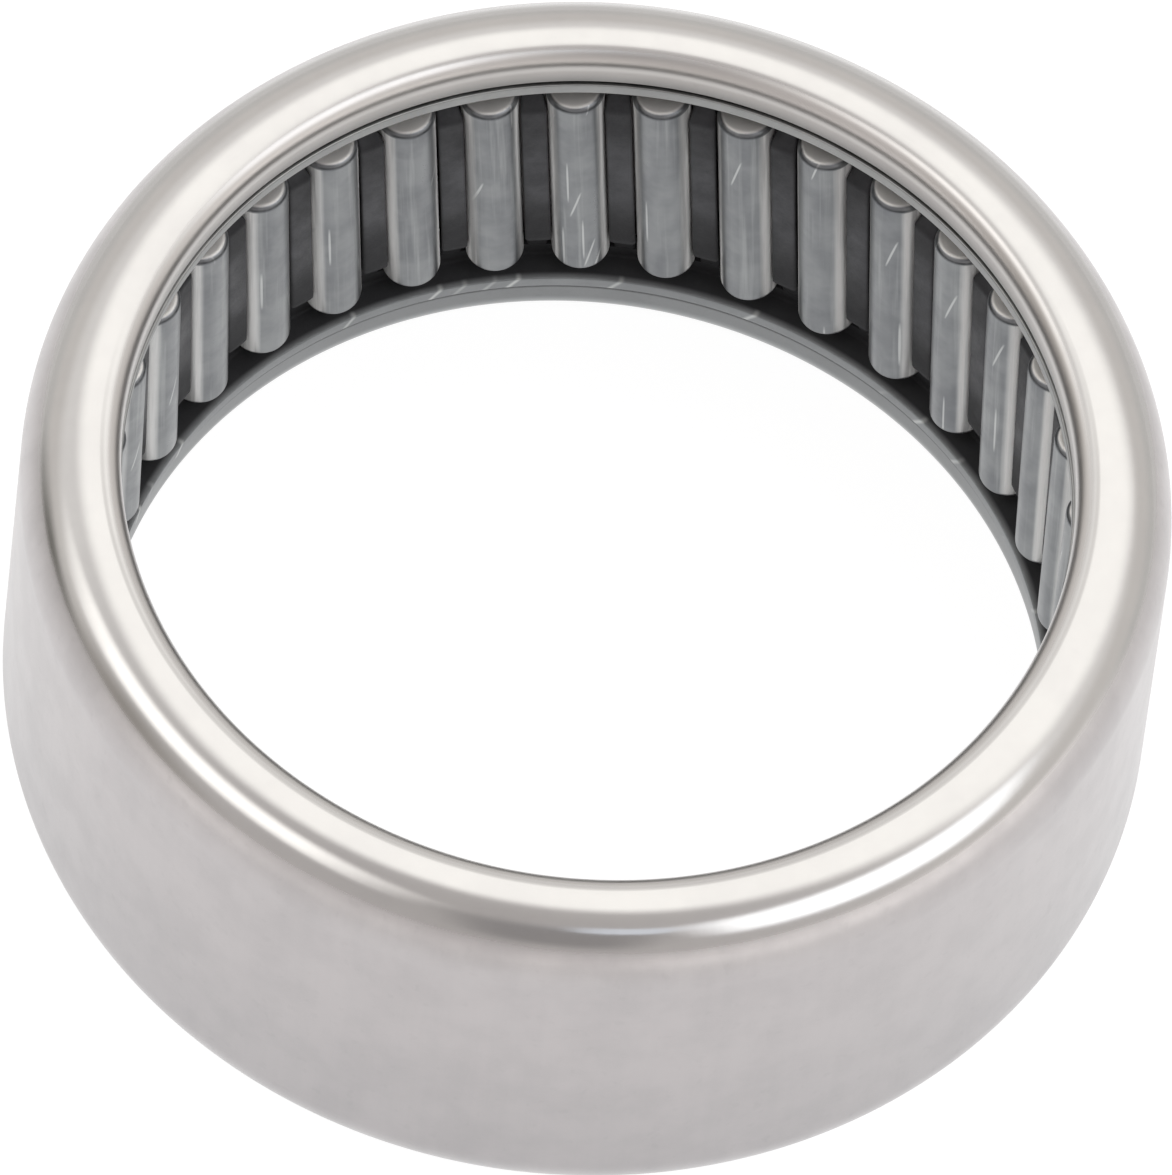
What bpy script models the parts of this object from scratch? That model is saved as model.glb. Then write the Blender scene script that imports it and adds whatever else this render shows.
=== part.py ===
"""Drawn-cup needle roller bearing: a steel cup with two turned-in lips, a sheet cage and its rollers.

The bearing's axis is +Z and its centre is the origin. The cup is the fixed outer shell. The cage
turns about +Z inside it, and each roller turns on its own axis in a pocket of the cage while it
rolls round the cup's inner wall. The rollers and their pockets lean a few degrees round the
bearing's radius, all to the same side.

Run it with: blender --background --python part.py
"""

import math

import bmesh
import bpy
from mathutils import Matrix, Vector

MM = 0.001

# Driving dimensions, in millimetres.
OUTER_DIAMETER = 39.0
WIDTH = 16.0
CUP_WALL = 1.45
LIP_THICKNESS = 1.5
CUP_CORNER_RADIUS = 2.35
CUP_INNER_FILLET = 0.4
LIP_MOUTH_RADIUS = 0.75
LIP_BACK_RADIUS = 0.25

ROLLER_COUNT = 36
ROLLER_DIAMETER = 2.0
ROLLER_CHAMFER = 0.25
ROLLER_LEAN = math.radians(-4.75)

# How far each roller has sunk along its pocket, as the bearing lies on its lower face.
ROLLER_DROP = 0.2

CAGE_SHEET = 0.6
CAGE_FLANGE = 0.5
CAGE_EDGE_BREAK = 0.15
SHOULDER_HEIGHT = 0.65
SHOULDER_LENGTH = 1.7
SHOULDER_SLOPE_LENGTH = 0.5

# Running clearances, in millimetres.
ROLLER_CLEARANCE = 0.05
CAGE_RADIAL_CLEARANCE = 0.3
CAGE_END_CLEARANCE = 0.1
POCKET_SIDE_CLEARANCE = 0.07
POCKET_END_CLEARANCE = 0.3
FLANGE_SETBACK = 0.5
LIP_BORE_CLEARANCE = 0.15
FLANGE_BORE_CLEARANCE = 0.08

# How far the pocket's sides close in below the roller's centre, per millimetre of depth. The mouth
# that the bar leaves on the shaft's side is narrower than the roller, so the roller stays in.
POCKET_TAPER = 0.24

# Sides of the turned pieces. They are a multiple of the roller count, so every roller meets the
# cup's wall in the same way.
TURNED_SIDES = 2 * ROLLER_COUNT
ROLLER_SIDES = 12

# Sizes that follow from those above.
OUTER_RADIUS = OUTER_DIAMETER / 2
HALF_WIDTH = WIDTH / 2
RACEWAY_RADIUS = OUTER_RADIUS - CUP_WALL
ROLLER_RADIUS = ROLLER_DIAMETER / 2
PITCH_RADIUS = RACEWAY_RADIUS - ROLLER_CLEARANCE - ROLLER_RADIUS
SHAFT_RADIUS = PITCH_RADIUS - ROLLER_RADIUS
LIP_BORE_RADIUS = SHAFT_RADIUS + LIP_BORE_CLEARANCE
LIP_FACE = HALF_WIDTH - LIP_THICKNESS

CAGE_HALF_WIDTH = LIP_FACE - CAGE_END_CLEARANCE
CAGE_OUTER_RADIUS = RACEWAY_RADIUS - CAGE_RADIAL_CLEARANCE
CAGE_BORE_RADIUS = SHAFT_RADIUS + FLANGE_BORE_CLEARANCE
FLANGE_FACE = CAGE_HALF_WIDTH - CAGE_FLANGE
SHOULDER_END = CAGE_HALF_WIDTH - SHOULDER_LENGTH
POCKET_HALF_LENGTH = FLANGE_FACE - FLANGE_SETBACK
ROLLER_LENGTH = 2 * (POCKET_HALF_LENGTH - POCKET_END_CLEARANCE)


def clear_scene():
    """Remove every object that the file opened with."""
    for obj in list(bpy.data.objects):
        bpy.data.objects.remove(obj, do_unlink=True)


def new_collection(name, hidden=False):
    """Make a collection under the scene's own."""
    group = bpy.data.collections.new(name)
    group.hide_render = hidden
    bpy.context.scene.collection.children.link(group)
    return group


def steel(name, colour, roughness):
    """Make a Principled metal."""
    material = bpy.data.materials.new(name)
    material.use_nodes = True
    shader = material.node_tree.nodes["Principled BSDF"]
    shader.inputs["Base Color"].default_value = (*colour, 1.0)
    shader.inputs["Metallic"].default_value = 1.0
    shader.inputs["Roughness"].default_value = roughness
    return material


def arc(centre_r, centre_z, radius, start, end, steps):
    """Points of an arc in the (r, z) half-plane, from one angle to another in degrees."""
    points = []
    for i in range(steps + 1):
        angle = math.radians(start + (end - start) * i / steps)
        points.append((centre_r + radius * math.cos(angle), centre_z + radius * math.sin(angle)))
    return points


def turned(name, outline, collection, material):
    """Turn a closed (r, z) outline, which runs down its outer side, once round Z."""
    mesh = bpy.data.meshes.new(name)
    count = len(outline)
    vertices = [(r * MM, 0.0, z * MM) for r, z in outline]
    edges = [(i, (i + 1) % count) for i in range(count)]
    mesh.from_pydata(vertices, edges, [])
    obj = bpy.data.objects.new(name, mesh)
    collection.objects.link(obj)
    screw = obj.modifiers.new("turn", "SCREW")
    screw.axis = "Z"
    screw.angle = math.tau
    screw.steps = TURNED_SIDES
    screw.render_steps = TURNED_SIDES
    screw.use_merge_vertices = True
    screw.merge_threshold = 1e-7
    screw.use_smooth_shade = True
    mesh.materials.append(material)
    return obj


def cup_outline():
    """Half of the cup's section on the +Z side, then the same points mirrored below.

    The upper half starts on the outer wall, goes over the round corner, along the flat face, into
    the bore of the lip, out along the back of the lip and down to the middle of the raceway.
    """
    corner = CUP_CORNER_RADIUS
    mouth = LIP_MOUTH_RADIUS
    back = LIP_BACK_RADIUS
    fillet = CUP_INNER_FILLET
    upper = arc(OUTER_RADIUS - corner, HALF_WIDTH - corner, corner, 0, 90, 5)
    upper += arc(LIP_BORE_RADIUS + mouth, HALF_WIDTH - mouth, mouth, 90, 180, 2)
    upper += arc(LIP_BORE_RADIUS + back, LIP_FACE + back, back, 180, 270, 1)
    upper += arc(RACEWAY_RADIUS - fillet, LIP_FACE - fillet, fillet, 90, 0, 2)
    lower = [(r, -z) for r, z in reversed(upper)]
    outline = upper + lower
    outline.reverse()
    return outline


def cage_outline():
    """The cage's section: flanges at both ends, shoulders on the outside and a set-in middle."""
    rim = CAGE_OUTER_RADIUS
    shoulder = SHOULDER_END
    slope = SHOULDER_SLOPE_LENGTH
    edge = CAGE_EDGE_BREAK
    upper = [
        (rim - SHOULDER_HEIGHT, shoulder - slope),
        (rim, shoulder),
        (rim, CAGE_HALF_WIDTH - edge),
        (rim - edge, CAGE_HALF_WIDTH),
        (CAGE_BORE_RADIUS + edge, CAGE_HALF_WIDTH),
        (CAGE_BORE_RADIUS, CAGE_HALF_WIDTH - edge),
        (CAGE_BORE_RADIUS, FLANGE_FACE),
        (rim - CAGE_SHEET, FLANGE_FACE),
        (rim - CAGE_SHEET, shoulder - CAGE_SHEET / 3),
        (rim - SHOULDER_HEIGHT - CAGE_SHEET, shoulder - slope - CAGE_SHEET / 3),
    ]
    lower = [(r, -z) for r, z in reversed(upper)]
    outline = upper + lower
    outline.reverse()
    return outline


def pocket_place(index):
    """Matrix of a pocket: local Y points away from the axis, and local Z along the roller."""
    turn = Matrix.Rotation(-math.tau * index / ROLLER_COUNT, 4, "Z")
    out = Matrix.Translation(Vector((0.0, PITCH_RADIUS * MM, 0.0)))
    lean = Matrix.Rotation(ROLLER_LEAN, 4, "Y")
    return turn @ out @ lean


def pocket_cutters(collection):
    """All the pockets as one cutter: leaning boxes whose sides close in towards the shaft."""
    depth = CAGE_SHEET + SHOULDER_HEIGHT + CAGE_RADIAL_CLEARANCE
    middle = ROLLER_RADIUS + POCKET_SIDE_CLEARANCE
    mesh = bpy.data.meshes.new("pocket_cutter")
    shape = bmesh.new()
    for index in range(ROLLER_COUNT):
        box = bmesh.ops.create_cube(shape, size=2.0)["verts"]
        for vertex in box:
            side, out, along = vertex.co
            half = middle + out * depth * POCKET_TAPER
            vertex.co = Vector((side * half, out * depth, along * POCKET_HALF_LENGTH)) * MM
        bmesh.ops.transform(shape, matrix=pocket_place(index), verts=box)
    shape.to_mesh(mesh)
    shape.free()
    cutter = bpy.data.objects.new("pocket_cutter", mesh)
    cutter.hide_render = True
    cutter.display_type = "WIRE"
    collection.objects.link(cutter)
    return cutter


def roller_mesh(material):
    """One roller about its own Z axis."""
    mesh = bpy.data.meshes.new("roller")
    shape = bmesh.new()
    bmesh.ops.create_cone(
        shape,
        cap_ends=True,
        segments=ROLLER_SIDES,
        radius1=ROLLER_RADIUS * MM,
        radius2=ROLLER_RADIUS * MM,
        depth=ROLLER_LENGTH * MM,
    )
    shape.to_mesh(mesh)
    shape.free()
    mesh.materials.append(material)
    mesh.shade_smooth()
    mesh.set_sharp_from_angle(angle=math.radians(40))
    return mesh


def build():
    """Build the cup, the cage and the rollers."""
    clear_scene()
    parts = new_collection("needle_roller_bearing")
    cutters = new_collection("cutters", hidden=True)

    turned("cup", cup_outline(), parts, steel("cup_steel", (0.66, 0.65, 0.63), 0.34))

    spin = bpy.data.objects.new("cage_axis", None)
    spin.empty_display_size = HALF_WIDTH * MM
    parts.objects.link(spin)

    cage = turned("cage", cage_outline(), parts, steel("cage_steel", (0.36, 0.35, 0.34), 0.42))
    cage.parent = spin
    pockets = cage.modifiers.new("pockets", "BOOLEAN")
    pockets.operation = "DIFFERENCE"
    pockets.solver = "EXACT"
    pockets.object = pocket_cutters(cutters)

    mesh = roller_mesh(steel("roller_steel", (0.52, 0.54, 0.56), 0.24))
    for index in range(ROLLER_COUNT):
        roller = bpy.data.objects.new(f"roller_{index + 1:02d}", mesh)
        parts.objects.link(roller)
        roller.parent = spin
        place = pocket_place(index) @ Matrix.Translation((0, 0, -ROLLER_DROP * MM))
        roller.location = place.to_translation()
        roller.rotation_euler = place.to_euler()
        chamfer = roller.modifiers.new("chamfer", "BEVEL")
        chamfer.width = ROLLER_CHAMFER * MM
        chamfer.segments = 1
        chamfer.limit_method = "ANGLE"
        chamfer.angle_limit = math.radians(60)


build()
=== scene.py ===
"""Looks of a drawn-cup needle roller bearing: its steel cup, its sheet cage and its 36 leaning rollers.

Every length in a class's fields is in millimetres. Meshes are made in metres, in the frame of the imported
model: the bearing's axis is Z and its middle is the origin.
"""

from __future__ import annotations

import logging
import math
from dataclasses import dataclass
from enum import Enum
from typing import Any, Mapping, Sequence, Union

import bpy
import numpy as np
from mathutils import Matrix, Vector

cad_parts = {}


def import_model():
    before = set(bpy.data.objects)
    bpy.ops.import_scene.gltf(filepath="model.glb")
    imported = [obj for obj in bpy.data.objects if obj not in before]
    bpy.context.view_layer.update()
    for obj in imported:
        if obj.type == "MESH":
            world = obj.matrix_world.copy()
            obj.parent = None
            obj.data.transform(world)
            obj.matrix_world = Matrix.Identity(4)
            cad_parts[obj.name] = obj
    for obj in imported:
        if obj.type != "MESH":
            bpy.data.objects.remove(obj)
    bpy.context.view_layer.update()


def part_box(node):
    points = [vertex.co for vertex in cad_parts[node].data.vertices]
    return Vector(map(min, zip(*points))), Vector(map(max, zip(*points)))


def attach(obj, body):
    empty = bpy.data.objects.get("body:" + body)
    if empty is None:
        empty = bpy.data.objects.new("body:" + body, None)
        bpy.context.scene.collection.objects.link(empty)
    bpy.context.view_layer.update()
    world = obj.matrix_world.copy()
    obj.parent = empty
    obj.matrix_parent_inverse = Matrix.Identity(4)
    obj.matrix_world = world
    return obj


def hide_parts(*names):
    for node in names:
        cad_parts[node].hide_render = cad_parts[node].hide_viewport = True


LOG = logging.getLogger("needle_bearing")
MM = 0.001
OIL_ROUGHNESS = 0.30
OIL_INDEX = 1.48
Colour = tuple[float, float, float]
Number = Union[float, "Flow"]


class Slot(Enum):
    """The names that the steels' materials are built from."""

    CUP = "cup_steel"
    CAGE = "cage_steel"
    ROLLER = "roller_steel"


class End(Enum):
    """The two ends of the bearing, each with the sign of its heights."""

    LOWER = -1
    UPPER = 1


# --------------------------------------------------------------------------------------- shader expressions


class Flow:
    """A socket's value on its way through a node tree, which Python's operators carry on with Math nodes."""

    def __init__(self, bench: "Bench", socket: bpy.types.NodeSocket) -> None:
        """Wraps one output socket.

        Args:
            bench: the tree that the socket is in.
            socket: the output socket that the value comes from.
        """
        self.bench = bench
        self.socket = socket

    def math(self, operation: str, *others: Number, flip: bool = False) -> "Flow":
        """Adds one Math node to this value.

        Args:
            operation: the Math node's operation.
            others: its other values.
            flip: puts this value after the first of the others, for reflected operators.

        Returns:
            The node's result.
        """
        values: list[Number] = [self, *others]
        if flip:
            values[0], values[1] = values[1], values[0]
        return self.bench.flow("ShaderNodeMath", {"operation": operation}, dict(enumerate(values)))

    def __add__(self, other: Number) -> "Flow":
        """This value plus another."""
        return self.math("ADD", other)

    def __sub__(self, other: Number) -> "Flow":
        """This value less another."""
        return self.math("SUBTRACT", other)

    def __rsub__(self, other: Number) -> "Flow":
        """Another value less this one."""
        return self.math("SUBTRACT", other, flip=True)

    def __mul__(self, other: Number) -> "Flow":
        """This value times another."""
        return self.math("MULTIPLY", other)

    def __truediv__(self, other: Number) -> "Flow":
        """This value divided by another."""
        return self.math("DIVIDE", other)

    def __rtruediv__(self, other: Number) -> "Flow":
        """Another value divided by this one."""
        return self.math("DIVIDE", other, flip=True)

    def __pow__(self, other: Number) -> "Flow":
        """This value to a power."""
        return self.math("POWER", other)

    def __abs__(self) -> "Flow":
        """This value without its sign."""
        return self.math("ABSOLUTE")

    __radd__ = __add__
    __rmul__ = __mul__

    def rise(self, low: float, high: float) -> "Flow":
        """A smooth step: 0 below low, 1 above high.

        Args:
            low: where the step starts.
            high: where it ends; if it is below low the step goes down.

        Returns:
            The stepped value.
        """
        settings = {"interpolation_type": "SMOOTHSTEP"}
        if high >= low:
            return self.bench.flow("ShaderNodeMapRange", settings, {0: self, 1: low, 2: high})
        return self.bench.flow("ShaderNodeMapRange", settings, {0: self, 1: high, 2: low, 3: 1.0, 4: 0.0})


@dataclass(frozen=True)
class Nicks:
    """Sizes of straight scratches that lie in the cells of a brick pattern.

    A cell is spacing wide and length long, in millimetres, and its columns are staggered by that share of a
    cell. width is half a line's width and margin the free strip at a cell's sides, both as shares of the
    spacing. share is the share of the cells that have a line, and slant the angle that the lines lean by, in
    degrees.
    """

    spacing: float
    length: float
    width: float
    share: float
    slant: float = 0.0
    stagger: float = 0.37
    margin: float = 0.2


class Bench:
    """A node tree being filled."""

    def __init__(self, tree: bpy.types.NodeTree) -> None:
        """Clears the tree.

        Args:
            tree: the material's or the world's node tree.
        """
        self.tree = tree
        tree.nodes.clear()

    def node(self, kind: str, settings: Mapping[str, Any], values: Mapping[Any, Any]) -> bpy.types.Node:
        """Adds one node of any type.

        Args:
            kind: the node's type.
            settings: its properties, set first.
            values: for each input, by name or number, a plain value or the Flow or socket that feeds it.

        Returns:
            The new node.
        """
        node = self.tree.nodes.new(kind)
        for name, setting in settings.items():
            setattr(node, name, setting)
        for key, value in values.items():
            socket = node.inputs[key]
            if isinstance(value, Flow):
                self.tree.links.new(value.socket, socket)
            elif isinstance(value, bpy.types.NodeSocket):
                self.tree.links.new(value, socket)
            else:
                socket.default_value = value
        return node

    def flow(
        self, kind: str, settings: Mapping[str, Any], values: Mapping[Any, Any], output: Any = 0
    ) -> Flow:
        """Adds one node and takes one of its outputs.

        Args:
            kind: the node's type.
            settings: its properties.
            values: its inputs.
            output: the name or number of the output that is wanted.

        Returns:
            That output.
        """
        return Flow(self, self.node(kind, settings, values).outputs[output])

    def place(self) -> Flow:
        """The point of the piece being shaded, in its object's coordinates."""
        return self.flow("ShaderNodeTexCoord", {}, {}, "Object")

    def own_place(self, name: str) -> Flow:
        """The point that a mesh attribute of that name gives."""
        return self.flow("ShaderNodeAttribute", {"attribute_name": name}, {}, "Vector")

    def parts(self, vector: Flow) -> tuple[Flow, Flow, Flow]:
        """The x, y and z of a vector."""
        node = self.node("ShaderNodeSeparateXYZ", {}, {0: vector})
        return Flow(self, node.outputs[0]), Flow(self, node.outputs[1]), Flow(self, node.outputs[2])

    def joined(self, x: Number, y: Number, z: Number) -> Flow:
        """A vector made of three values."""
        return self.flow("ShaderNodeCombineXYZ", {}, {0: x, 1: y, 2: z})

    def stretched(self, vector: Flow, along_z: float) -> Flow:
        """A vector with its z scaled, by a Mapping node.

        Args:
            vector: the vector.
            along_z: the factor; a small one draws a pattern out along Z.

        Returns:
            The new vector.
        """
        values = {"Vector": vector, "Scale": (1.0, 1.0, along_z)}
        return self.flow("ShaderNodeMapping", {"vector_type": "POINT"}, values)

    def noise(self, vector: Flow, size: float, detail: float = 2.0, rough: float = 0.5) -> Flow:
        """Fractal noise from about 0.25 to 0.75.

        Args:
            vector: where it is read, in metres.
            size: the width of its largest blotches, in millimetres.
            detail: how many finer layers it has.
            rough: how strong the finer layers are.

        Returns:
            The noise.
        """
        values = {"Vector": vector, "Scale": 1.0 / (size * MM), "Detail": detail, "Roughness": rough}
        return self.flow("ShaderNodeTexNoise", {"noise_dimensions": "3D"}, values)

    def nicks(self, run: Flow, climb: Flow, kind: Nicks) -> Flow:
        """Straight scratches, at most one in each cell of a brick pattern that leans by the nicks' slant.

        Each cell's random number places its line across the cell, a second one decides whether it has a line
        at all, and the line thins towards its ends as four times the share of its length done times the
        share left.

        Args:
            run: the distance sideways over the surface, in metres.
            climb: the distance upwards over it, in metres.
            kind: the nicks' sizes.

        Returns:
            1 on a scratch, 0 beside it.
        """
        slant = math.radians(kind.slant)
        across = (run * math.cos(slant) - climb * math.sin(slant)) / MM
        along = (climb * math.cos(slant) + run * math.sin(slant)) / MM
        column = (across / kind.spacing).math("FLOOR")
        row = along / kind.length + column * kind.stagger
        cell = self.joined(column, row.math("FLOOR"), 0.0)
        chance = self.node("ShaderNodeTexWhiteNoise", {"noise_dimensions": "3D"}, {"Vector": cell})
        pick = self.parts(Flow(self, chance.outputs["Color"]))[1]
        middle = Flow(self, chance.outputs["Value"]) * (1.0 - 2.0 * kind.margin) + kind.margin
        done = row.math("FRACT")
        line = abs((across / kind.spacing).math("FRACT") - middle).rise(kind.width, 0.0)
        return line * (done * (1.0 - done) * 4.0) * pick.math("GREATER_THAN", 1.0 - kind.share)

    def mixed(self, factor: Number, first: Any, second: Any) -> Flow:
        """A colour between two colours.

        Args:
            factor: 0 for the first, 1 for the second.
            first: a colour or the link that brings it.
            second: a colour or the link that brings it.

        Returns:
            The mixed colour.
        """
        values = {0: factor, 6: paint(first), 7: paint(second)}
        return self.flow("ShaderNodeMix", {"data_type": "RGBA"}, values, 2)

    def dented(self, height: Flow, depth: float, strength: float, under: Flow | None = None) -> Flow:
        """A Bump node.

        Args:
            height: the pattern, from 0 to 1.
            depth: the height of 1, in millimetres.
            strength: how much of the bump shows.
            under: the normal of a coarser bump below it.

        Returns:
            The bumped normal.
        """
        values: dict[str, Any] = {"Height": height, "Distance": depth * MM, "Strength": strength}
        if under is not None:
            values["Normal"] = under
        return self.flow("ShaderNodeBump", {}, values)


def paint(colour: Any) -> Any:
    """A colour of three numbers with its alpha added; anything else as it is."""
    return (*colour, 1.0) if isinstance(colour, tuple) and len(colour) == 3 else colour


# ------------------------------------------------------------------------------------------------- finishes


@dataclass(frozen=True)
class SatinCupSteel:
    """The cup's steel: tumbled satin on the outside wall, burnished over both rolled rims, lightly oiled.

    satin and bright are the two steels' colours, clean the painted highlight that lightens the satin next to
    the rims, and stain that of its blotches and of the painted shade that darkens its lower part. upper_bore
    and lower_bore are the colours of the lips' bores, the lower one darker as painted shade, and edge that of
    the painted shade at the upper bore's inner end and of the painted dark reflection along the line where
    its rounding starts, all placed by bore_radius. That line is painted on the side at dark_line_bearing, the
    side facing the viewer, in degrees from +Y towards +X. turn_height is the height at which the burnished
    rim starts, and blotch and grain are the widths of those patterns.
    """

    satin: Colour = (0.466, 0.438, 0.440)
    bright: Colour = (0.512, 0.500, 0.488)
    satin_highlight: Colour = (0.540, 0.515, 0.515)
    stain_and_shade: Colour = (0.368, 0.352, 0.358)
    upper_bore: Colour = (0.540, 0.516, 0.498)
    lower_bore: Colour = (0.245, 0.252, 0.257)
    edge: Colour = (0.340, 0.330, 0.322)
    oil: float = 0.80
    bore_radius: float = 16.15
    dark_line_bearing: float = 165.0
    satin_rough: float = 0.40
    bright_rough: float = 0.115
    turn_height: float = 7.1
    blotch: float = 2.4
    grain: float = 0.11

    def make(self) -> bpy.types.Material:
        """Builds the material.

        The burnished share steps up with the height off the middle. Blotches, upright draw marks and
        tumbling grain are noise on the object's coordinates, and the tool's rings are noise on radius and
        height alone.

        Returns:
            The material.
        """
        material, bench = fresh_material(Slot.CUP.value)
        here = bench.place()
        x, y, z = bench.parts(here)
        radius = (x * x + y * y) ** 0.5
        burnished = (abs(z) / MM).rise(self.turn_height, self.turn_height + 0.25)
        blotch = bench.noise(here, self.blotch, 3.0, 0.6).rise(0.35, 0.68)
        drawn = bench.noise(bench.stretched(here, 0.07), 0.9, 3.0, 0.6).rise(0.3, 0.7)
        rings = bench.noise(bench.joined(radius, 0.0, z), 0.16, 2.0, 0.6)
        grain = bench.noise(here, self.grain, 2.0, 0.6)
        speck = bench.noise(here, 0.5, 2.0, 0.5).rise(0.62, 0.72)
        high, upper = z / MM, z.rise(-MM, MM)
        # painted shade: the wall is darkened towards its lower end, mixed in with the real blotches, draw
        # marks and specks
        low = high.rise(4.0, -7.0)
        stain_and_low_shade = blotch * 0.22 + drawn * 0.14 + speck * 0.08 + low * 0.60
        # painted highlight: the satin is lightened towards the rims
        colour = bench.mixed(high.rise(self.turn_height - 1.8, self.turn_height), self.satin, self.satin_highlight)
        colour = bench.mixed(burnished, colour, self.bright)
        colour = bench.mixed(stain_and_low_shade * (1.0 - burnished * 0.55), colour, self.stain_and_shade)
        past = radius / MM - self.bore_radius
        inside = past.rise(0.50, 0.20)
        # painted dark reflection: a dark line where the rim's rounding starts, only on the side facing the
        # viewer
        turn = math.radians(self.dark_line_bearing)
        near_side = ((x * math.sin(turn) + y * math.cos(turn)) / radius).rise(-0.45, 0.15)
        line = past.rise(0.80, 0.71) * past.rise(0.56, 0.68) * burnished * near_side
        colour = bench.mixed(line * 0.8, colour, self.edge)
        # painted shade: the upper bore darkens towards its inner end, next to the cage's flange
        bore = bench.mixed(high.rise(6.55, 7.20), self.edge, self.upper_bore)
        colour = bench.mixed(inside * upper, colour, bore)
        # painted shade: the lower lip's bore is coloured far darker than the upper lip's
        colour = bench.mixed(inside * (1.0 - upper), colour, self.lower_bore)
        rough = self.satin_rough + (blotch - 0.5) * 0.05 + (grain - 0.5) * 0.1 + speck * 0.04
        shiny = self.bright_rough + (rings - 0.5) * 0.08 + (blotch - 0.5) * 0.03
        rough = rough * (1.0 - burnished) + shiny * burnished + past.rise(0.95, 0.60) * 0.14 + inside * 0.10
        sway = bench.dented(bench.noise(here, 4.5, 1.0, 0.4), 0.022, 0.5)
        height = grain * (1.0 - burnished * 0.85) + rings * burnished * 0.35 + drawn * 0.3
        normal = bench.dented(height, 0.0035, 0.5, sway)
        metal(bench, colour, rough, normal, oil=self.oil)
        return material


@dataclass(frozen=True)
class PressedCageSteel:
    """The cage's steel: pressed sheet that keeps the steel's own grey on its flanges' bores, coloured near
    black as painted shade elsewhere, and darker still as painted shade in the recesses.

    sheet is the sheet's near-black colour, a painted shade, rubbed that of the lower flange's bore,
    upper_bore that of the upper one's, soot that of the mottles and of the painted shade in the recesses
    between the rollers and scratched that of the scratches on the lower bore. bore_radius is where the rubbed
    faces are.
    """

    bore_radius: float
    sheet: Colour = (0.074, 0.074, 0.079)
    rubbed: Colour = (0.252, 0.260, 0.265)
    upper_bore: Colour = (0.330, 0.332, 0.328)
    mottle_and_recess_shade: Colour = (0.022, 0.022, 0.024)
    scratched: Colour = (0.56, 0.57, 0.56)
    scratches: Nicks = Nicks(spacing=0.8, length=7.0, width=0.15, share=0.26, slant=-38.0)

    def make(self) -> bpy.types.Material:
        """Builds the material.

        The rubbed share falls off with the radius above the flange bore, and the painted shade of the
        recesses grows with the radius and towards both ends. The lower bore's bright scratches are slanting
        nicks on the piece's own unrolled attribute.

        Returns:
            The material.
        """
        material, bench = fresh_material(Slot.CAGE.value)
        here = bench.place()
        x, y, z = bench.parts(here)
        radius = (x * x + y * y) ** 0.5 / MM
        height = abs(z) / MM
        rubbed = radius.rise(self.bore_radius + 0.30, self.bore_radius + 0.05) * height.rise(5.5, 5.8)
        level, upper = z / MM, z.rise(-MM, MM)
        # painted shade: darker towards both ends, most at the lower end
        end_shade = level.rise(-0.6, -3.7) + level.rise(0.6, 3.7) * 0.45
        # painted shade: depth blackens the bars' outer recesses and the ends, and there cuts metallic and
        # raises roughness
        depth = (radius.rise(16.9, 17.3) + end_shade).math("MINIMUM", 1.0) * height.rise(6.0, 5.85)
        mottle = bench.noise(here, 1.4, 3.0, 0.6).rise(0.3, 0.7)
        grain = bench.noise(here, 0.08, 2.0, 0.6)
        pressed = bench.noise(bench.stretched(here, 0.1), 0.35, 2.0, 0.5)
        run, climb, _ = bench.parts(bench.own_place("unrolled"))
        scratch = bench.nicks(run, climb, self.scratches) * rubbed * (1.0 - upper)
        # painted shade: the sheet's near-black colour stands in for the shade on the bars; the bores keep the
        # steel's grey
        colour = bench.mixed(mottle * 0.35, self.sheet, self.mottle_and_recess_shade)
        colour = bench.mixed(depth * 0.9, colour, self.mottle_and_recess_shade)
        bore = bench.mixed(upper, self.rubbed, self.upper_bore)
        colour = bench.mixed(rubbed * (0.75 + mottle * 0.25), colour, bore)
        colour = bench.mixed(scratch * 0.8, colour, self.scratched)
        rough = 0.44 + (grain - 0.5) * 0.2 + mottle * 0.08 - rubbed * 0.10 + depth * 0.35
        normal = bench.dented(grain + pressed * 0.8 - scratch * 0.8, 0.005, 0.5)
        metal(bench, colour, rough, normal, 1.0 - depth * 0.85)
        return material


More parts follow.
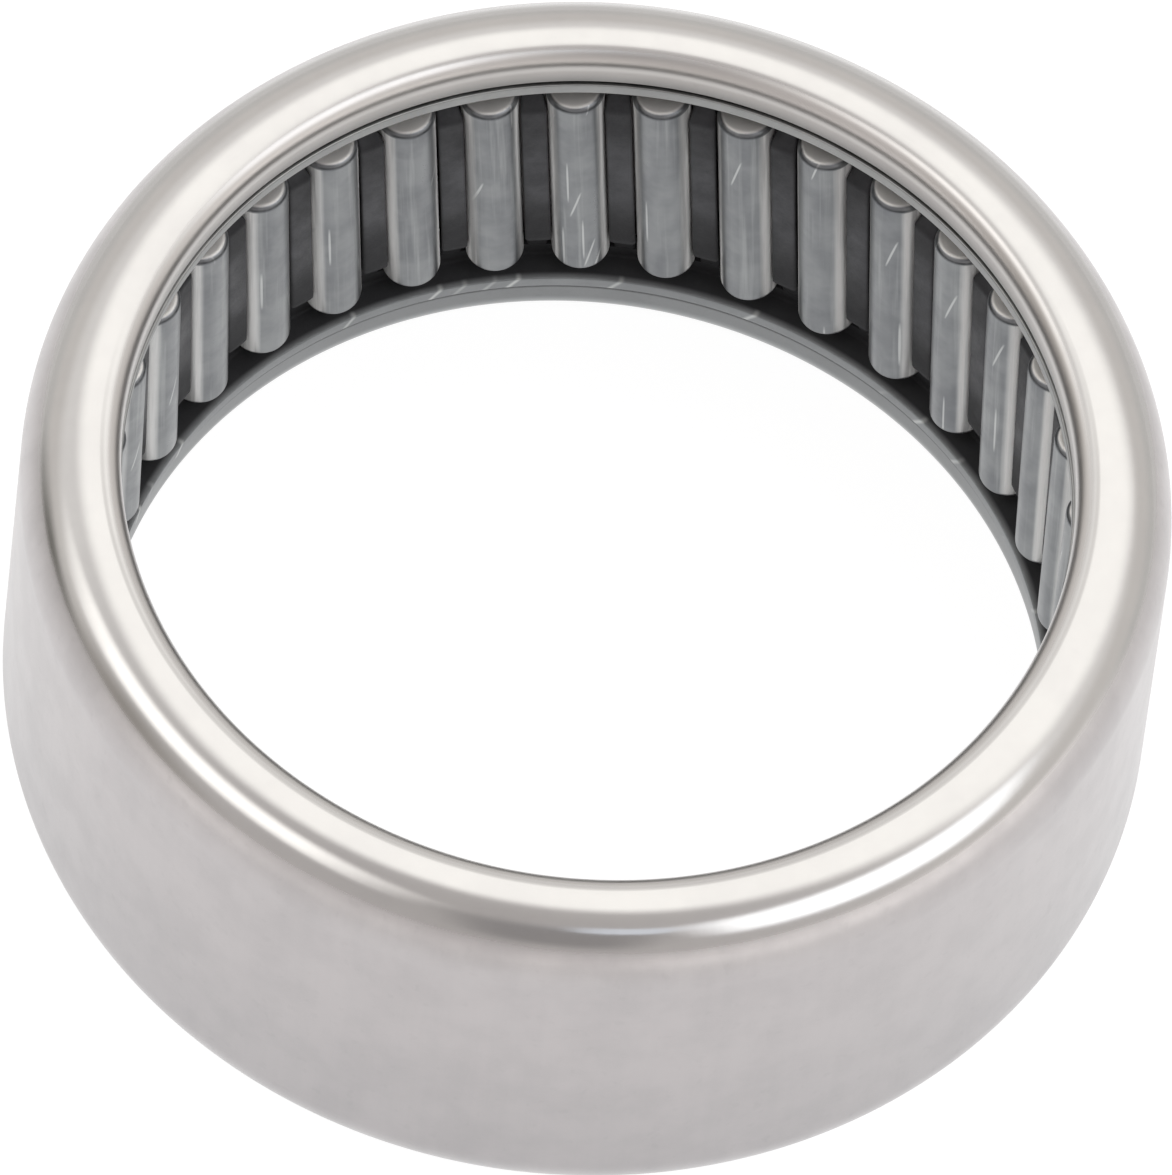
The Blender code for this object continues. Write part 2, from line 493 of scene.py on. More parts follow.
@dataclass(frozen=True)
class GroundRollerSteel:
    """The rollers' steel: ground, then tumbled, with lengthwise rub marks, bright flanks that are a painted
    highlight, a few nicks, and lighter matt ends whose lightness is painted light.

    ground, rubbed, flank, end and nicked are the colours of those surfaces, flank a painted highlight and end
    painted light, and smoke that of the smoky patches and of the painted shade on the rounded corners.
    half_length is half a roller's length.
    """

    ground: Colour = (0.258, 0.266, 0.271)
    rubbed: Colour = (0.372, 0.382, 0.382)
    smoke_and_shade: Colour = (0.158, 0.164, 0.175)
    flank: Colour = (0.900, 0.895, 0.880)
    end: Colour = (0.88, 0.86, 0.83)
    nicked: Colour = (0.70, 0.71, 0.70)
    slanting: Nicks = Nicks(spacing=0.5, length=1.7, width=0.10, share=0.035, slant=14.0)
    upright: Nicks = Nicks(spacing=0.37, length=2.6, width=0.13, share=0.06)
    rough: float = 0.33
    half_length: float = 5.1

    def make(self) -> bpy.types.Material:
        """Builds the material.

        Its streaks read each roller's own unturned place, moved on by a step from roller to roller, so that
        they run along the roller and no two rollers are alike. The flanks, where a highlight is painted, are
        the places that lie far out to either side, and the ends, painted lighter, those whose height is the
        half length.

        Returns:
            The material.
        """
        material, bench = fresh_material(Slot.ROLLER.value)
        own = bench.own_place("own_place")
        side, _, height = bench.parts(bench.own_place("flank"))
        ends = (abs(height) / MM).rise(self.half_length - 0.05, self.half_length - 0.01)
        corner = (abs(height) / MM).rise(self.half_length - 0.28, self.half_length - 0.19) * (1.0 - ends)
        streak = bench.noise(bench.stretched(own, 0.035), 0.34, 3.0, 0.6)
        band = bench.noise(bench.stretched(own, 0.14), 1.0, 2.0, 0.6).rise(0.34, 0.68)
        cloud = bench.noise(own, 1.6, 3.0, 0.6).rise(0.32, 0.7)
        grain = bench.noise(own, 0.07, 2.0, 0.6)
        run, _, climb = bench.parts(own)
        nick = bench.nicks(run, climb, self.slanting) + bench.nicks(run, climb, self.upright)
        # painted highlight: bright, mostly diffuse bands down both flanks
        flank = (abs(side) / MM).rise(0.62, 0.84)
        flank = flank * (0.62 + streak.rise(0.40, 0.62) * 0.38) * (1.0 - ends) * (1.0 - corner * 0.7)
        colour = bench.mixed(cloud * 0.50 + band * 0.42, self.ground, self.smoke_and_shade)
        colour = bench.mixed(streak.rise(0.50, 0.74) * 0.6, colour, self.rubbed)
        colour = bench.mixed(flank, colour, self.flank)
        colour = bench.mixed((nick * (1.0 - ends)).math("MINIMUM", 0.5), colour, self.nicked)
        # painted shade: the rounded corners are darkened, and the flank highlight is dimmed there
        colour = bench.mixed(corner * 0.55, colour, self.smoke_and_shade)
        # painted light: the ends are coloured far lighter than the body
        colour = bench.mixed(ends * 0.9, colour, self.end)
        rough = self.rough + (streak - 0.5) * 0.25 + (grain - 0.5) * 0.12 + cloud * 0.05 + ends * 0.24
        sway = bench.dented(bench.noise(bench.stretched(own, 0.5), 1.3, 1.0), 0.010, 0.5)
        normal = bench.dented(streak + grain * 0.5 - nick * 0.6, 0.0030, 0.55, sway)
        metal(bench, colour, rough, normal, 1.0 - flank * 0.9 - ends * 0.25)
        return material


@dataclass(frozen=True)
class LightTablePaper:
    """The floor: white paper on a light table, so that it stays white under and inside the bearing.

    far_glow is the share of its glow that is left beyond far_radius, and it falls off from near_radius on.
    """

    paper: Colour = (0.14, 0.14, 0.14)
    rough: float = 0.9
    glow: float = 0.93
    far_glow: Colour = (0.72, 0.71, 0.70)
    near_radius: float = 36.0
    far_radius: float = 85.0

    def make(self) -> bpy.types.Material:
        """Builds the material: matt paper with faint fibres, whose glow falls off outwards."""
        material, bench = fresh_material("table_paper")
        here = bench.place()
        x, y, _ = bench.parts(here)
        radius = (x * x + y * y) ** 0.5 / MM
        fibre = bench.noise(here, 0.6, 3.0, 0.6)
        colour = bench.mixed(fibre, self.paper, tuple(0.96 * part for part in self.paper))
        lit = bench.mixed(radius.rise(self.near_radius, self.far_radius), (1.0, 1.0, 1.0), self.far_glow)
        values = {"Base Color": colour, "Roughness": self.rough}
        values |= {"Emission Color": lit, "Emission Strength": self.glow}
        shader = bench.node("ShaderNodeBsdfPrincipled", {}, values)
        bench.node("ShaderNodeOutputMaterial", {}, {0: shader.outputs[0]})
        return material


def fresh_material(name: str) -> tuple[bpy.types.Material, Bench]:
    """A new material of that name and the bench for its nodes."""
    material = bpy.data.materials.new(name + "_finish")
    material.use_nodes = True
    return material, Bench(material.node_tree)


def metal(
    bench: Bench, colour: Flow, rough: Flow, normal: Flow, bare: Number = 1.0, oil: float = 0.0
) -> None:
    """Ends a material with a metal shader.

    Args:
        bench: the material's bench.
        colour: its colour.
        rough: its roughness.
        normal: its bumped normal.
        bare: how bare the metal is: 0 where dirt or fine scratches scatter all its light.
        oil: how much of the metal is under a film of oil.
    """
    values = {"Base Color": colour, "Roughness": rough, "Metallic": bare, "Normal": normal}
    values |= {"Coat Weight": oil, "Coat Roughness": OIL_ROUGHNESS, "Coat IOR": OIL_INDEX}
    shader = bench.node("ShaderNodeBsdfPrincipled", {"distribution": "MULTI_GGX"}, values)
    bench.node("ShaderNodeOutputMaterial", {}, {0: shader.outputs[0]})


# ------------------------------------------------------------------------------------------- surface making


def rounded(corners: Sequence[tuple[float, float, float]], steps: int) -> np.ndarray:
    """Rounds the corners of a closed outline.

    A corner's arc touches both its sides at its radius divided by the tangent of half the angle between
    them, and its centre lies on the bisector at the radius divided by that half angle's sine.

    Args:
        corners: x, y and radius of each corner, in order round the outline.
        steps: how many points each arc has.

    Returns:
        The outline's points, shape (corners * steps, 2).
    """
    spot = np.array([corner[:2] for corner in corners], float)
    size = np.array([corner[2] for corner in corners], float)[:, None]
    back = np.roll(spot, 1, 0) - spot
    ahead = np.roll(spot, -1, 0) - spot
    back /= np.linalg.norm(back, axis=1, keepdims=True)
    ahead /= np.linalg.norm(ahead, axis=1, keepdims=True)
    half = np.arccos(np.clip((back * ahead).sum(1, keepdims=True), -1, 1)) / 2
    middle = back + ahead
    middle /= np.linalg.norm(middle, axis=1, keepdims=True)
    centre = spot + middle * size / np.sin(half)
    first = spot + back * size / np.tan(half) - centre
    last = spot + ahead * size / np.tan(half) - centre
    share = np.linspace(0, 1, steps)[None, :, None]
    sweep = np.pi - 2 * half[:, :, None]
    weight = np.maximum(np.sin(sweep), 1e-9)
    arc = (first[:, None] * np.sin((1 - share) * sweep) + last[:, None] * np.sin(share * sweep)) / weight
    return (centre[:, None] + arc).reshape(-1, 2)


def refined(outline: np.ndarray, longest: float) -> np.ndarray:
    """Cuts a closed outline's long sides into equal lengths.

    Args:
        outline: its points, shape (n, 2).
        longest: the longest side allowed.

    Returns:
        The outline with the points added.
    """
    ahead = np.roll(outline, -1, 0)
    pieces = np.maximum(1, np.ceil(np.linalg.norm(ahead - outline, axis=1) / longest)).astype(int)
    start = np.repeat(np.arange(len(outline)), pieces)
    step = np.arange(pieces.sum()) - np.repeat(np.cumsum(pieces) - pieces, pieces)
    share = (step / pieces[start])[:, None]
    return outline[start] * (1 - share) + ahead[start] * share


def turned(outline: np.ndarray, sides: int) -> np.ndarray:
    """Carries an outline round the Z axis.

    The point at angle a is the outline's radius times the cosine and the sine of a, at the outline's height.

    Args:
        outline: radius and height of each point, shape (n, 2).
        sides: how many steps go round.

    Returns:
        The grid of points, shape (sides, n, 3).
    """
    angle = np.arange(sides)[:, None] * (2 * np.pi / sides)
    radius, height = outline[None, :, 0], outline[None, :, 1]
    flat = [radius * np.cos(angle), radius * np.sin(angle), height + 0 * angle]
    return np.stack(flat, -1)


def grid_quads(rows: int, columns: int, round_rows: bool, round_columns: bool) -> np.ndarray:
    """The quads of a grid of points.

    Args:
        rows: how many rows of points there are.
        columns: how many points a row has.
        round_rows: joins the last row to the first.
        round_columns: joins a row's last point to its first.

    Returns:
        Four point numbers for each quad, shape (quads, 4).
    """
    row = np.arange(rows if round_rows else rows - 1)[:, None]
    column = np.arange(columns if round_columns else columns - 1)[None, :]
    next_row, next_column = (row + 1) % rows, (column + 1) % columns
    corners = [row * columns + column, next_row * columns + column]
    corners += [next_row * columns + next_column, row * columns + next_column]
    return np.stack(np.broadcast_arrays(*corners), -1).reshape(-1, 4)


def fan(ring: np.ndarray, tip: int, outward: bool) -> np.ndarray:
    """Triangles from a closed ring of points to its tip.

    Args:
        ring: the ring's point numbers in order.
        tip: the number of the point in its middle.
        outward: the order in which each triangle is taken.

    Returns:
        Three point numbers for each triangle, shape (n, 3).
    """
    ahead = np.roll(ring, -1)
    pair = (ring, ahead) if outward else (ahead, ring)
    return np.stack([*pair, np.full(len(ring), tip)], -1)


def new_piece(name: str, points: np.ndarray, faces: Sequence[np.ndarray]) -> bpy.types.Object:
    """Puts points and faces into a smooth mesh object at the origin.

    Args:
        name: the piece's name.
        points: its points in millimetres, shape (n, 3).
        faces: arrays of quads or triangles.

    Returns:
        The object, linked to the scene.
    """
    mesh = bpy.data.meshes.new(name)
    loops = [row for part in faces for row in part.tolist()]
    mesh.from_pydata((points * MM).tolist(), [], loops)
    mesh.polygons.foreach_set("use_smooth", np.ones(len(mesh.polygons), bool))
    mesh.update()
    piece = bpy.data.objects.new(name, mesh)
    bpy.context.scene.collection.objects.link(piece)
    return piece


def note(piece: bpy.types.Object, name: str, vectors: np.ndarray) -> None:
    """Stores one vector for each point of a piece, in metres, under a name that its finish reads.

    Args:
        piece: the piece.
        name: the attribute's name.
        vectors: the vectors in millimetres, shape (points, 3).
    """
    layer = piece.data.attributes.new(name, "FLOAT_VECTOR", "POINT")
    layer.data.foreach_set("vector", (vectors * MM).astype(np.float32).ravel())


# ---------------------------------------------------------------------------------------------- the bearing


@dataclass
class CupShell:
    """The drawn cup: an outside wall with both ends rolled in to lips.

    wall is the sheet's thickness, lip_depth the lip's, corner the outside rolled radius, mouth and back the
    radii on the two edges of the lip's bore, fillet the inside corner's. Every rounding has arc_points
    points, and a straight stretch between two points is no longer than stretch.
    """

    outer_radius: float
    half_width: float
    wall: float = 1.45
    lip_depth: float = 1.5
    lip_bore: float = 16.15
    corner: float = 2.35
    mouth: float = 0.75
    back: float = 0.10
    fillet: float = 0.4
    sides: int = 360
    arc_points: int = 30
    stretch: float = 0.9

    def section(self) -> np.ndarray:
        """The section's closed outline, counter-clockwise in radius and height.

        Each end is the outside wall, a quarter turn of the corner radius, the flat crown, the rounded bore
        of the lip and its inner face, and the raceway joins the two ends inside.

        Returns:
            Radius and height of each point.
        """
        wide, high = self.outer_radius, self.half_width
        raceway, face = wide - self.wall, high - self.lip_depth
        upper = [(wide, high, self.corner), (self.lip_bore, high, self.mouth)]
        upper += [(self.lip_bore, face, self.back), (raceway, face, self.fillet)]
        lower = [(radius, -height, size) for radius, height, size in reversed(upper)]
        return refined(rounded(upper + lower, self.arc_points), self.stretch)

    def build(self) -> bpy.types.Object:
        """Turns the section round the axis.

        Returns:
            The cup.
        """
        section = self.section()
        grid = turned(section, self.sides)
        return new_piece("drawn_cup", grid.reshape(-1, 3), [grid_quads(self.sides, len(section), True, True)])

    def dress(self, piece: bpy.types.Object) -> None:
        """Gives the cup its finish and its place in the model."""
        piece.data.materials.append(SatinCupSteel().make())
        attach(piece, "cup")
        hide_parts("cup")


@dataclass
class SheetCage:
    """The pressed cage: two flanged end rings and a bar between every two rollers.

    lean is the angle by which pockets and bars lean from the axis, in degrees. The bars are set in by set_in
    from the shoulders that carry the flanges, and pocket_at_pitch and pocket_taper give half a pocket's
    width and how it grows outwards. A ring's edges are rounded by rim_edge, bore_edge, flange_edge, bend and
    cut, in order from its outer rim round its flange to the cut face at the pockets. The bars reach into the
    rings by lap. bar_rows and bar_points are the grid of a bar, square is the power that rounds its section,
    and slim and narrow are the shares of the sheet and of the gap between two pockets that it fills.
    """

    outer_radius: float
    half_width: float
    bore_radius: float = 16.08
    count: int = 36
    lean: float = -4.75
    sheet: float = 0.6
    flange: float = 0.5
    set_in: float = 0.65
    pitch_radius: float = 17.0
    pocket_at_pitch: float = 1.07
    pocket_taper: float = 0.24
    pocket_half_length: float = 5.4
    shoulder_from: float = 4.1
    shoulder_to: float = 4.65
    rim_edge: float = 0.16
    bore_edge: float = 0.05
    flange_edge: float = 0.07
    bend: float = 0.12
    cut: float = 0.03
    sides: int = 432
    arc_points: int = 8
    stretch: float = 0.35
    lap: float = 0.12
    bar_rows: int = 49
    bar_points: int = 20
    square: float = 0.35
    slim: float = 0.985
    narrow: float = 0.97

    def ring_section(self, end: End) -> np.ndarray:
        """The outline of one end ring, from its flange's bore to its shoulder.

        Args:
            end: which end's ring.

        Returns:
            Radius and height of each point, counter-clockwise.
        """
        top, under, foot = self.half_width, self.half_width - self.flange, self.pocket_half_length
        wide, inside, bore = self.outer_radius, self.outer_radius - self.sheet, self.bore_radius
        corners = [(wide, foot, self.cut), (wide, top, self.rim_edge), (bore, top, self.bore_edge)]
        corners += [(bore, under, self.flange_edge), (inside, under, self.bend), (inside, foot, self.cut)]
        if end is End.LOWER:
            corners = [(radius, -height, size) for radius, height, size in reversed(corners)]
        return refined(rounded(corners, self.arc_points), self.stretch)

    def rings(self) -> tuple[np.ndarray, np.ndarray, np.ndarray]:
        """Both end rings.

        Returns:
            Their points, quads and unrolled places: arc length round, height and depth.
        """
        points, quads, flat, start = [], [], [], 0
        for end in End:
            section = self.ring_section(end)
            grid = turned(section, self.sides)
            arc = np.arange(self.sides)[:, None] * (2 * np.pi * self.bore_radius / self.sides)
            radius, height = section[None, :, 0], section[None, :, 1]
            places = [arc + 0 * radius, height + 0 * arc, radius + 0 * arc]
            points.append(grid.reshape(-1, 3))
            quads.append(grid_quads(self.sides, len(section), True, True) + start)
            flat.append(np.stack(places, -1).reshape(-1, 3))
            start += grid.shape[0] * grid.shape[1]
        return np.concatenate(points), np.concatenate(quads), np.concatenate(flat)

    def bars(self) -> tuple[np.ndarray, list[np.ndarray]]:
        """Every bar, as one rounded section carried along the pressed line from ring to ring.

        At height z the line's radius is that of the set-in middle, raised by a smooth step to the shoulder.
        At a radius r and a height z a pocket's side stands off its roller's middle plane by z times the
        tangent of the lean plus or minus the pocket's half width there, so a bar's two sides are the angles
        whose sine is that over r, half a pitch to either side. The section is a rounded square: the signs of
        cosine and sine times a low power of their sizes.

        Returns:
            The points and the faces of all the bars.
        """
        reach = self.pocket_half_length + self.lap
        height = np.linspace(-reach, reach, self.bar_rows)[:, None]
        turn = np.linspace(0, 2 * np.pi, self.bar_points, endpoint=False)[None, :]
        across = np.sign(np.cos(turn)) * np.abs(np.cos(turn)) ** self.square
        through = np.sign(np.sin(turn)) * np.abs(np.sin(turn)) ** self.square
        step = np.clip((np.abs(height) - self.shoulder_from) / (self.shoulder_to - self.shoulder_from), 0, 1)
        step = step * step * (3 - 2 * step)
        middle = self.outer_radius - self.sheet / 2 - self.set_in * (1 - step)
        radius = middle + through * self.sheet / 2 * self.slim
        half = self.pocket_at_pitch + self.pocket_taper * (radius - self.pitch_radius)
        shift = height * math.tan(math.radians(self.lean))
        pitch = math.pi / self.count
        left = -pitch + np.arcsin((shift + half) / radius)
        right = pitch + np.arcsin((shift - half) / radius)
        angle = (left + right) / 2 + across * (right - left) / 2 * self.narrow
        rows, columns = radius.shape
        bar = (np.arange(self.count) + 0.5)[:, None, None] * (2 * np.pi / self.count)
        around = angle[None] + bar
        places = [radius * np.sin(around), radius * np.cos(around), height + 0 * around]
        points = np.stack(places, -1).reshape(self.count, -1, 3)
        tips = points.reshape(self.count, rows, columns, 3)[:, [0, -1]].mean(2)
        points = np.concatenate([points, tips], 1)
        each = rows * columns + 2
        start = (np.arange(self.count) * each)[:, None, None]
        first = np.arange(columns)
        quads = grid_quads(rows, columns, False, True)[None, :, ::-1] + start
        low_cap = fan(first, rows * columns, True)
        high_cap = fan(first + (rows - 1) * columns, rows * columns + 1, False)
        triangles = np.concatenate([low_cap, high_cap])[None, :, ::-1] + start
        return points.reshape(-1, 3), [quads.reshape(-1, 4), triangles.reshape(-1, 3)]

    def build(self) -> list[bpy.types.Object]:
        """Makes the pair of rings and the set of bars.

        Returns:
            The two pieces.
        """
        points, quads, flat = self.rings()
        rings = new_piece("cage_rings", points, [quads])
        note(rings, "unrolled", flat)
        points, faces = self.bars()
        bars = new_piece("cage_bars", points, faces)
        note(bars, "unrolled", points)
        return [rings, bars]

    def dress(self, pieces: Sequence[bpy.types.Object]) -> None:
        """Gives the cage's pieces their finish and their place in the model."""
        steel = PressedCageSteel(self.bore_radius).make()
        for piece in pieces:
            piece.data.materials.append(steel)
            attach(piece, "cage")
            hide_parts("cage")


@dataclass
class NeedleRollers:
    """The rollers: flat-ended needles with rounded corners, each leaning in its pocket and sunk along it by
    drop.

    tip is the radius at which an end face's rings of points stop, and stride moves the finish's patterns on
    from roller to roller.
    """

    drop: float
    radius: float = 1.0
    length: float = 10.2
    count: int = 36
    pitch_radius: float = 17.0
    lean: float = -4.75
    corner: float = 0.25
    sides: int = 56
    tip: float = 0.12
    stride: tuple[float, float, float] = (7.3, 3.1, 11.7)
    finish: GroundRollerSteel = GroundRollerSteel()

    def section(self) -> np.ndarray:
        """Half of a roller's outline, from near the middle of its lower end up to near that of its upper end.

        It is the flat face, a quarter turn of the corner's radius and the wall, then the first two mirrored.

        Returns:
            Radius and height of each point.
        """
        end, body = self.length / 2, self.radius - self.corner
        bend = np.linspace(0, np.pi / 2, 9)
        face = np.linspace(self.tip, body, 4)[:-1]
        rim = np.stack([body + self.corner * np.sin(bend), -end + self.corner * (1 - np.cos(bend))], -1)
        lower = np.concatenate([np.stack([face, np.full(len(face), -end)], -1), rim])
        wall_heights = np.linspace(-end + self.corner, end - self.corner, 16)[1:-1]
        wall = np.stack([np.full(len(wall_heights), self.radius), wall_heights], -1)
        return np.concatenate([lower, wall, lower[::-1] * (1, -1)])

    def build_one(self, index: int) -> bpy.types.Object:
        """Makes one roller.

        The section is turned round Z, sunk, leaned about Y, moved out to the pitch radius along Y and turned
        clockwise by the roller's share of the circle.

        Args:
            index: the roller's number, from 0.

        Returns:
            The roller.
        """
        section = self.section()
        grid = turned(section, self.sides)
        tips = np.array([[0, 0, section[0, 1]], [0, 0, section[-1, 1]]])
        own = np.concatenate([grid.reshape(-1, 3), tips])
        rows, columns = grid.shape[:2]
        first = np.arange(rows) * columns
        low_cap = fan(first, rows * columns, False)
        high_cap = fan(first + columns - 1, rows * columns + 1, True)
        lean, turn = math.radians(self.lean), -2 * math.pi * index / self.count
        sunk = own[:, 2] - self.drop
        x = own[:, 0] * math.cos(lean) + sunk * math.sin(lean)
        z = -own[:, 0] * math.sin(lean) + sunk * math.cos(lean)
        y = own[:, 1] + self.pitch_radius
        placed = [x * math.cos(turn) - y * math.sin(turn), x * math.sin(turn) + y * math.cos(turn), z]
        quads = grid_quads(rows, columns, True, False)
        piece = new_piece(f"needle_{index + 1:02d}", np.stack(placed, -1), [quads, low_cap, high_cap])
        note(piece, "own_place", own + np.array(self.stride) * (index + 1))
        note(piece, "flank", own)
        return piece

    def build(self) -> list[bpy.types.Object]:
        """Makes every roller."""
        return [self.build_one(index) for index in range(self.count)]

    def dress(self, pieces: Sequence[bpy.types.Object]) -> None:
        """Gives the rollers their finish and their places in the model."""
        steel = self.finish.make()
        for number, piece in enumerate(pieces, 1):
            piece.data.materials.append(steel)
            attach(piece, f"roller_{number:02d}")
            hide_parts(f"roller_{number:02d}")


# ----------------------------------------------------------------------------------------------- the studio


@dataclass(frozen=True)
class Panel:
    """A soft-edged panel in the sky of the studio.

    Its middle is tilt degrees from straight up, towards bearing degrees clockwise from the side away from
    the viewer. It reaches across and along degrees to each side of its middle, turned by roll degrees, its
    edge fades over the share soft of that, and it takes the sky towards its own light.
    """

    tilt: float
    bearing: float
    across: float
    along: float
    roll: float
    soft: float
    light: Colour


@dataclass(frozen=True)
class Studio:
    """A light tent with soft panels in its sky, over a bright hem along the floor.

    away is the bearing of the side away from the viewer, in degrees from +Y towards +X. tent is the light of
    the sky overhead, skirt that lower down, and near_hem and far_hem that along the floor on the viewer's
    side and on the far side. hem_turn, hem_top and skirt_top are the steps between them: the first along the
    ray's share towards the viewer, the others along its rise. graze fades a panel out for rays that barely
    face it, and floor_reach is half the floor's side and floor_points its points along a side.
    """

    floor_height: float
    away: float = -3.22
    tent: Colour = (1.18, 1.16, 1.14)
    skirt: Colour = (0.95, 0.92, 0.89)
    near_hem: Colour = (2.00, 1.96, 1.92)
    far_hem: Colour = (0.84, 0.83, 0.81)
    hem_turn: tuple[float, float] = (-0.35, 0.25)
    hem_top: tuple[float, float] = (0.08, 0.30)
    skirt_top: tuple[float, float] = (0.40, 0.64)
    graze: tuple[float, float] = (0.05, 0.15)
    floor_reach: float = 1500.0
    floor_points: int = 13
    panels: tuple[Panel, ...] = (
        Panel(37.0, 193.0, 50.0, 50.0, 40.0, 0.9, (0.70, 0.67, 0.66)),
        Panel(27.0, 21.8, 29.6, 20.1, 0.5, 0.39, (1.80, 1.78, 1.74)),
        Panel(39.0, 259.0, 10.0, 23.0, 44.0, 0.6, (2.3, 2.27, 2.22)),
        Panel(41.7, 115.3, 20.4, 13.3, 33.4, 0.31, (2.3, 2.33, 2.38)),
        Panel(42.0, 178.0, 12.0, 15.0, 0.0, 0.45, (0.45, 0.43, 0.43)),
        Panel(29.0, 161.8, 5.3, 4.7, 0.0, 0.3, (1.10, 1.16, 1.26)),
        Panel(74.0, 258.0, 15.0, 12.0, 0.0, 0.8, (0.50, 0.47, 0.44)),
        Panel(86.0, 281.0, 13.0, 10.0, 0.0, 0.7, (0.25, 0.24, 0.22)),
    )

    def heading(self, tilt: float, bearing: float) -> np.ndarray:
        """The direction at a tilt from straight up and a bearing from the far side, in degrees."""
        lean, turn = math.radians(tilt), math.radians(bearing + self.away)
        return np.array([math.sin(lean) * math.sin(turn), math.sin(lean) * math.cos(turn), math.cos(lean)])

    def panel_share(self, bench: Bench, ray: Flow, panel: Panel) -> Flow:
        """How much of a panel a ray meets.

        The ray is measured along the panel's own right, up and facing directions. Right and up over facing,
        each over the tangent of the panel's reach, give a place on the panel, and the fourth root of the sum
        of their fourth powers is 1 on its edge.

        Args:
            bench: the world's bench.
            ray: the ray's direction.
            panel: the panel.

        Returns:
            1 inside, 0 outside.
        """
        facing = self.heading(panel.tilt, panel.bearing)
        side = self.heading(90.0, 90.0)
        ahead = np.cross(facing, side)
        ahead /= np.linalg.norm(ahead)
        side = np.cross(ahead, facing)
        turn = math.radians(panel.roll)
        right = side * math.cos(turn) + ahead * math.sin(turn)
        up = ahead * math.cos(turn) - side * math.sin(turn)
        depth = self.along(bench, ray, facing)
        near = depth.math("MAXIMUM", self.graze[0])
        u = abs(self.along(bench, ray, right) / near / math.tan(math.radians(panel.across)))
        v = abs(self.along(bench, ray, up) / near / math.tan(math.radians(panel.along)))
        edge = (u**4.0 + v**4.0) ** 0.25
        return edge.rise(1.0 + panel.soft, 1.0 - panel.soft) * depth.rise(*self.graze)

    @staticmethod
    def along(bench: Bench, ray: Flow, direction: np.ndarray) -> Flow:
        """The length of a ray along a direction, by a Vector Math node."""
        values = {0: ray, 1: tuple(float(part) for part in direction)}
        return bench.flow("ShaderNodeVectorMath", {"operation": "DOT_PRODUCT"}, values, 1)

    def sky(self) -> None:
        """Makes the world: the tent, its skirt, its hem at the floor, and the panels laid over them."""
        world = bpy.data.worlds.new("tent")
        world.use_nodes = True
        bench = Bench(world.node_tree)
        ray = bench.flow("ShaderNodeTexCoord", {}, {}, "Generated")
        rise = bench.parts(ray)[2]
        hither = self.along(bench, ray, self.heading(90.0, 180.0))
        hem = bench.mixed(hither.rise(*self.hem_turn), self.far_hem, self.near_hem)
        colour = bench.mixed(rise.rise(*self.hem_top), hem, self.skirt)
        colour = bench.mixed(rise.rise(*self.skirt_top), colour, self.tent)
        for panel in self.panels:
            colour = bench.mixed(self.panel_share(bench, ray, panel), colour, panel.light)
        shader = bench.node("ShaderNodeBackground", {}, {"Color": colour, "Strength": 1.0})
        bench.node("ShaderNodeOutputWorld", {}, {0: shader.outputs[0]})
        bpy.context.scene.world = world

    def floor(self) -> bpy.types.Object:
        """Lays the floor, a square sheet of paper just under the bearing.

        Returns:
            The floor.
        """
        side = np.linspace(-self.floor_reach, self.floor_reach, self.floor_points)
        x, y = np.meshgrid(side, side, indexing="ij")
        points = np.stack([x, y, np.full_like(x, self.floor_height)], -1).reshape(-1, 3)
        paper = new_piece("paper_floor", points, [grid_quads(len(side), len(side), False, False)])
        paper.data.materials.append(LightTablePaper().make())
        return paper

    def open(self) -> None:
        """Sets up sky, floor and the plain conversion of light to tone."""
        self.sky()
        self.floor()
        bpy.context.scene.view_settings.view_transform = "Standard"


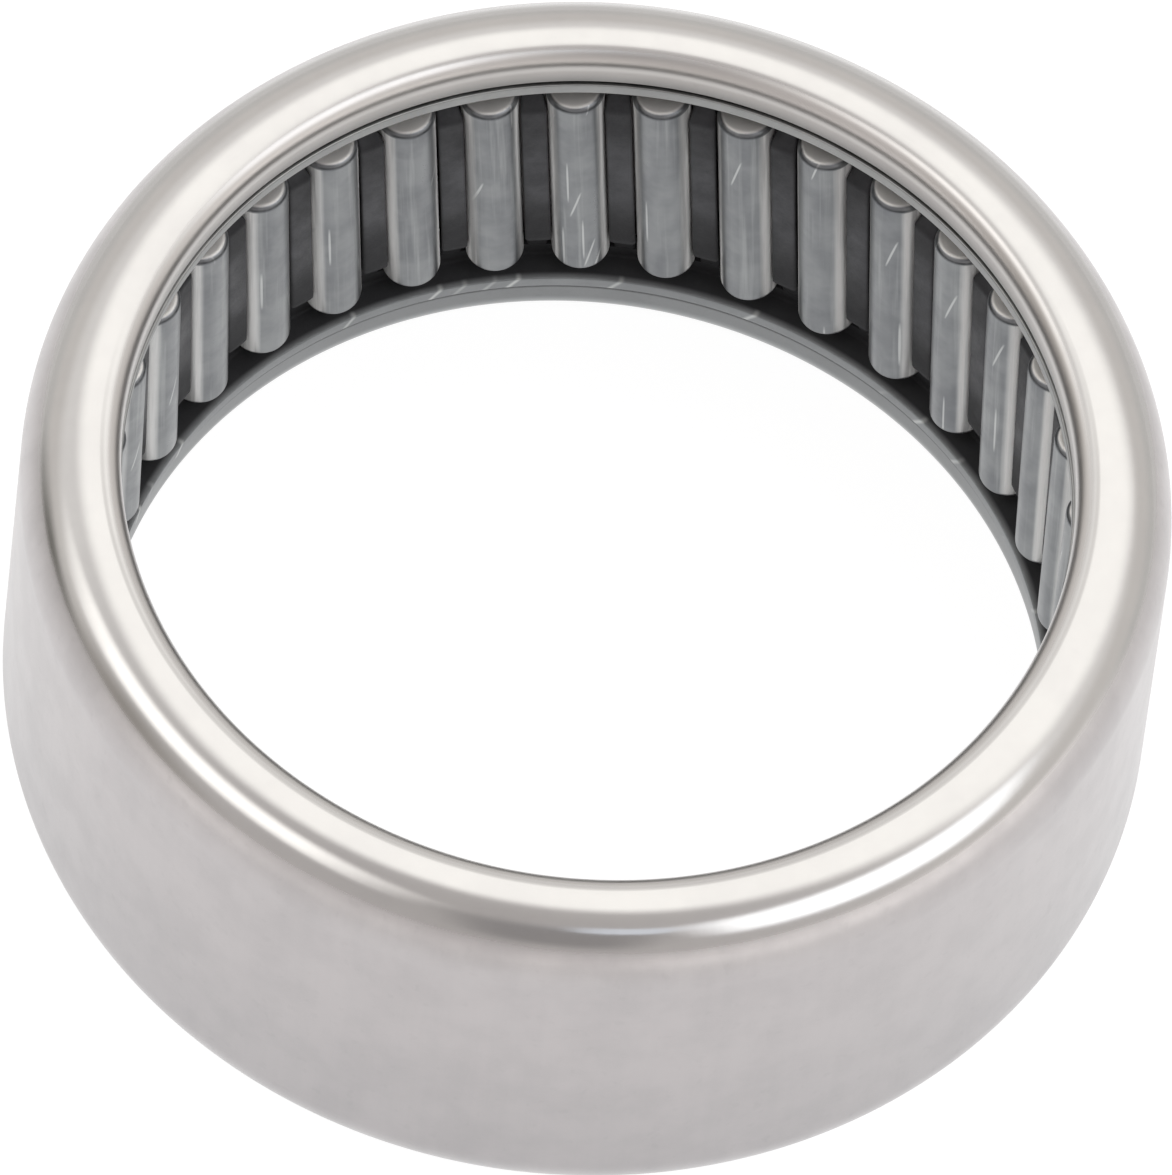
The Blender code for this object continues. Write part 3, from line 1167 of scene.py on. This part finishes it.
@dataclass(frozen=True)
class Viewer:
    """The camera: far off with a long lens, looking down on the bearing, a little rolled.

    scale is the length of the outer radius in the view when the view's long side is long_side, and aside and
    above are how far the bearing's middle lies from the view's, all in the same unit. distance is in outer
    radii.
    """

    outer_radius: float
    elevation: float = 58.06
    roll: float = 6.98
    away: float = -3.22
    scale: float = 574.8
    aside: float = -0.75
    above: float = 0.91
    distance: float = 60.0
    long_side: float = 1175.0
    sensor: float = 36.0

    def stand(self) -> bpy.types.Object:
        """Puts the camera in place.

        Its right, up and backward directions are the columns of its turn: the level right and its upright
        partner, both rolled about the line of sight.

        Returns:
            The camera.
        """
        look, roll, turn = (math.radians(angle) for angle in (self.elevation, self.roll, self.away))
        level = np.array([math.sin(turn), math.cos(turn), 0.0])
        sight = level * math.cos(look) + np.array([0.0, 0.0, -math.sin(look)])
        right = np.array([math.cos(turn), -math.sin(turn), 0.0])
        up = np.cross(right, sight)
        right, up = right * math.cos(roll) + up * math.sin(roll), up * math.cos(roll) - right * math.sin(roll)
        step = self.outer_radius * MM / self.scale
        target = -right * self.aside * step - up * self.above * step
        spot = target - sight * self.distance * self.outer_radius * MM
        data = bpy.data.cameras.new("viewer")
        data.sensor_width = self.sensor
        data.lens = self.scale * self.distance * self.sensor / self.long_side
        data.clip_start, data.clip_end = 0.05, 20.0
        camera = bpy.data.objects.new("viewer", data)
        bpy.context.scene.collection.objects.link(camera)
        columns = np.stack([right, up, -sight, spot], -1)
        camera.matrix_world = Matrix([*columns.tolist(), [0.0, 0.0, 0.0, 1.0]])
        bpy.context.scene.camera = camera
        return camera


def halves(node: str) -> np.ndarray:
    """Half the size of a CAD node's box on each axis, in millimetres."""
    low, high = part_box(node)
    return (np.array(high) - np.array(low)) / 2 / MM


def main() -> None:
    """Builds the bearing and its studio."""
    logging.basicConfig(level=logging.INFO, format="%(message)s")
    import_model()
    cup_half, cage_half = halves("cup"), halves("cage")
    cup = CupShell(outer_radius=float(cup_half[0]), half_width=float(cup_half[2]))
    Viewer(outer_radius=cup.outer_radius).stand()
    Studio(floor_height=-cup.half_width).open()
    shell = cup.build()
    cup.dress(shell)
    cage = SheetCage(outer_radius=float(cage_half[0]), half_width=float(cage_half[2]))
    basket = cage.build()
    cage.dress(basket)
    low, high = (np.array(corner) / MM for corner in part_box("roller_01"))
    rollers = NeedleRollers(drop=-float(low[2] + high[2]) / 2)
    needles = rollers.build()
    rollers.dress(needles)
    for piece in [shell, *basket, *needles]:
        LOG.info("%s: %d points, %d faces", piece.name, len(piece.data.vertices), len(piece.data.polygons))


if __name__ == "__main__":
    main()
